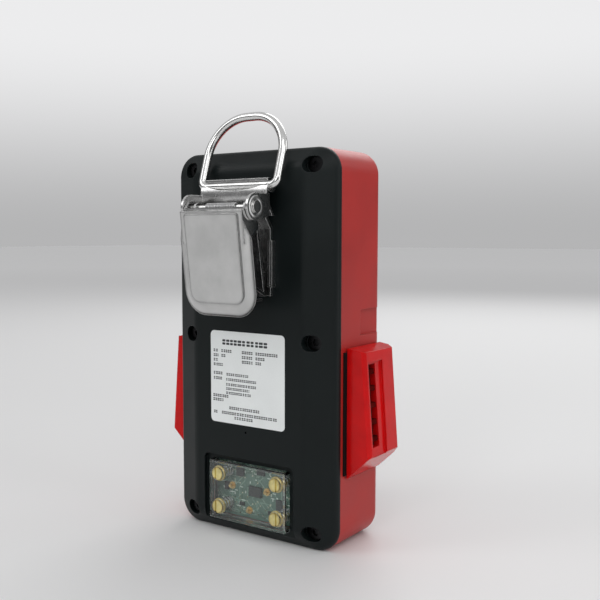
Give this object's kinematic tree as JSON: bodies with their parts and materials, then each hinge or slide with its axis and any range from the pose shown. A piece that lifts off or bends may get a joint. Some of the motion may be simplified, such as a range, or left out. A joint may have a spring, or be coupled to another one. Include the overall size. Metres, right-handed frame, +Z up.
{
  "type": "portable gas detector",
  "caption": "Hand-sized gas detector with crowned back, side alarm lenses, sprung charging contacts, a belt clip and a D-ring.",
  "frame": {"origin": "middle of the flat base that the detector stands on", "axes": "+Z up along the case, -Y out of the display, +Y out of the clip side, +X to the right seen from the display side"},
  "size_m": [0.0844, 0.0519, 0.1423],
  "materials": {
    "black_case": "fine moulded texture",
    "red_case": "satin moulded",
    "red_lens": "glossy tinted",
    "lens_grille": "dark tinted",
    "clip_steel": "polished",
    "screw_steel": "machined",
    "spring_steel": "drawn",
    "label_white": "satin",
    "window_clear": "clear",
    "contact_brass": "turned",
    "board_green": "lacquered",
    "chip_black": "moulded",
    "seal_rubber": "matte",
    "display_dark": "smooth",
    "display_glass": "smoked",
    "key_grey": "satin",
    "sensor_white": "moulded",
    "filter_white": "membrane",
    "frame_plastic": "moulded",
    "battery_silver": "foil",
    "buzzer_black": "moulded",
    "motor_steel": "drawn",
    "lamp_clear": "clear",
    "spacer_brass": "turned"
  },
  "bodies": {
    "case": {"rear_cover": "black_case", "front_shell": "red_case", "case_seal": "seal_rubber", "case_screws": "screw_steel", "rear_label": "label_white", "contact_window": "window_clear", "charge_board": "board_green", "charge_board_parts": "chip_black", "board_pins": "contact_brass", "board_spacers": "spacer_brass", "main_board": "board_green", "board_screws": "screw_steel", "main_board_parts": "chip_black", "front_board": "board_green", "display_module": "display_dark", "display_lens": "display_glass", "keypad": "seal_rubber", "key_switches": "motor_steel", "sensor_gasket": "seal_rubber", "sensor_filters": "filter_white", "sensor_grille": "black_case", "buzzer": "buzzer_black", "vibration_motor": "motor_steel", "inner_frame": "frame_plastic", "battery_pack": "battery_silver", "battery_foam": "seal_rubber", "led_boards": "board_green", "alarm_leds": "lamp_clear", "clip_base": "clip_steel", "clip_pin": "clip_steel", "clip_spring": "spring_steel", "clip_screws": "screw_steel", "contact_spring_1": "spring_steel", "gas_sensor_1": "sensor_white", "contact_spring_2": "spring_steel", "gas_sensor_2": "sensor_white", "contact_spring_3": "spring_steel", "gas_sensor_3": "sensor_white", "contact_spring_4": "spring_steel", "gas_sensor_4": "sensor_white", "alarm_lens_left": "red_lens", "alarm_grille_left": "lens_grille", "lens_seal_left": "seal_rubber", "alarm_lens_right": "red_lens", "alarm_grille_right": "lens_grille", "lens_seal_right": "seal_rubber"},
    "lever": {"clip_lever": "clip_steel"},
    "jaw": {"clip_jaw": "clip_steel"},
    "ring": {"d_ring": "clip_steel"},
    "contact_1": {"charge_contact_1": "contact_brass"},
    "contact_2": {"charge_contact_2": "contact_brass"},
    "contact_3": {"charge_contact_3": "contact_brass"},
    "contact_4": {"charge_contact_4": "contact_brass"},
    "key_left_cap": {"key_left": "key_grey"},
    "key_power_cap": {"key_power": "key_grey"},
    "key_right_cap": {"key_right": "key_grey"}
  },
  "joints": [
    {"name": "lever_hinge", "type": "hinge", "parent": "case", "child": "lever", "pos_m": [0, 0.0286, 0.111], "axis": [1, 0, 0], "range_deg": [0, 100], "stiffness_Nm_per_rad": 0.02, "springref_deg": -34.38},
    {"name": "jaw_hinge", "type": "hinge", "parent": "case", "child": "jaw", "pos_m": [0, 0.0286, 0.111], "axis": [1, 0, 0], "range_deg": [0, 6.5]},
    {"name": "ring_swing", "type": "hinge", "parent": "case", "child": "ring", "pos_m": [0, 0.0203, 0.1181], "axis": [1, 0, 0], "range_deg": [-130, 7]},
    {"name": "contact_press_1", "type": "slide", "parent": "case", "child": "contact_1", "axis": [0, -1, 0], "range_m": [0, 0.001], "stiffness_N_per_m": 300, "springref_m": -0.0005, "deforming": ["contact_spring_1"]},
    {"name": "contact_press_2", "type": "slide", "parent": "case", "child": "contact_2", "axis": [0, -1, 0], "range_m": [0, 0.001], "stiffness_N_per_m": 300, "springref_m": -0.0005, "deforming": ["contact_spring_2"]},
    {"name": "contact_press_3", "type": "slide", "parent": "case", "child": "contact_3", "axis": [0, -1, 0], "range_m": [0, 0.001], "stiffness_N_per_m": 300, "springref_m": -0.0005, "deforming": ["contact_spring_3"]},
    {"name": "contact_press_4", "type": "slide", "parent": "case", "child": "contact_4", "axis": [0, -1, 0], "range_m": [0, 0.001], "stiffness_N_per_m": 300, "springref_m": -0.0005, "deforming": ["contact_spring_4"]},
    {"name": "key_left_press", "type": "slide", "parent": "case", "child": "key_left_cap", "axis": [0, 1, 0], "range_m": [0, 0.0007], "stiffness_N_per_m": 1500, "springref_m": -0.0003},
    {"name": "key_power_press", "type": "slide", "parent": "case", "child": "key_power_cap", "axis": [0, 1, 0], "range_m": [0, 0.0007], "stiffness_N_per_m": 1500, "springref_m": -0.0003},
    {"name": "key_right_press", "type": "slide", "parent": "case", "child": "key_right_cap", "axis": [0, 1, 0], "range_m": [0, 0.0007], "stiffness_N_per_m": 1500, "springref_m": -0.0003}
  ],
  "couplings": [
    {"joint": "jaw_hinge", "follows": "lever_hinge", "ratio": 0.06}
  ]
}
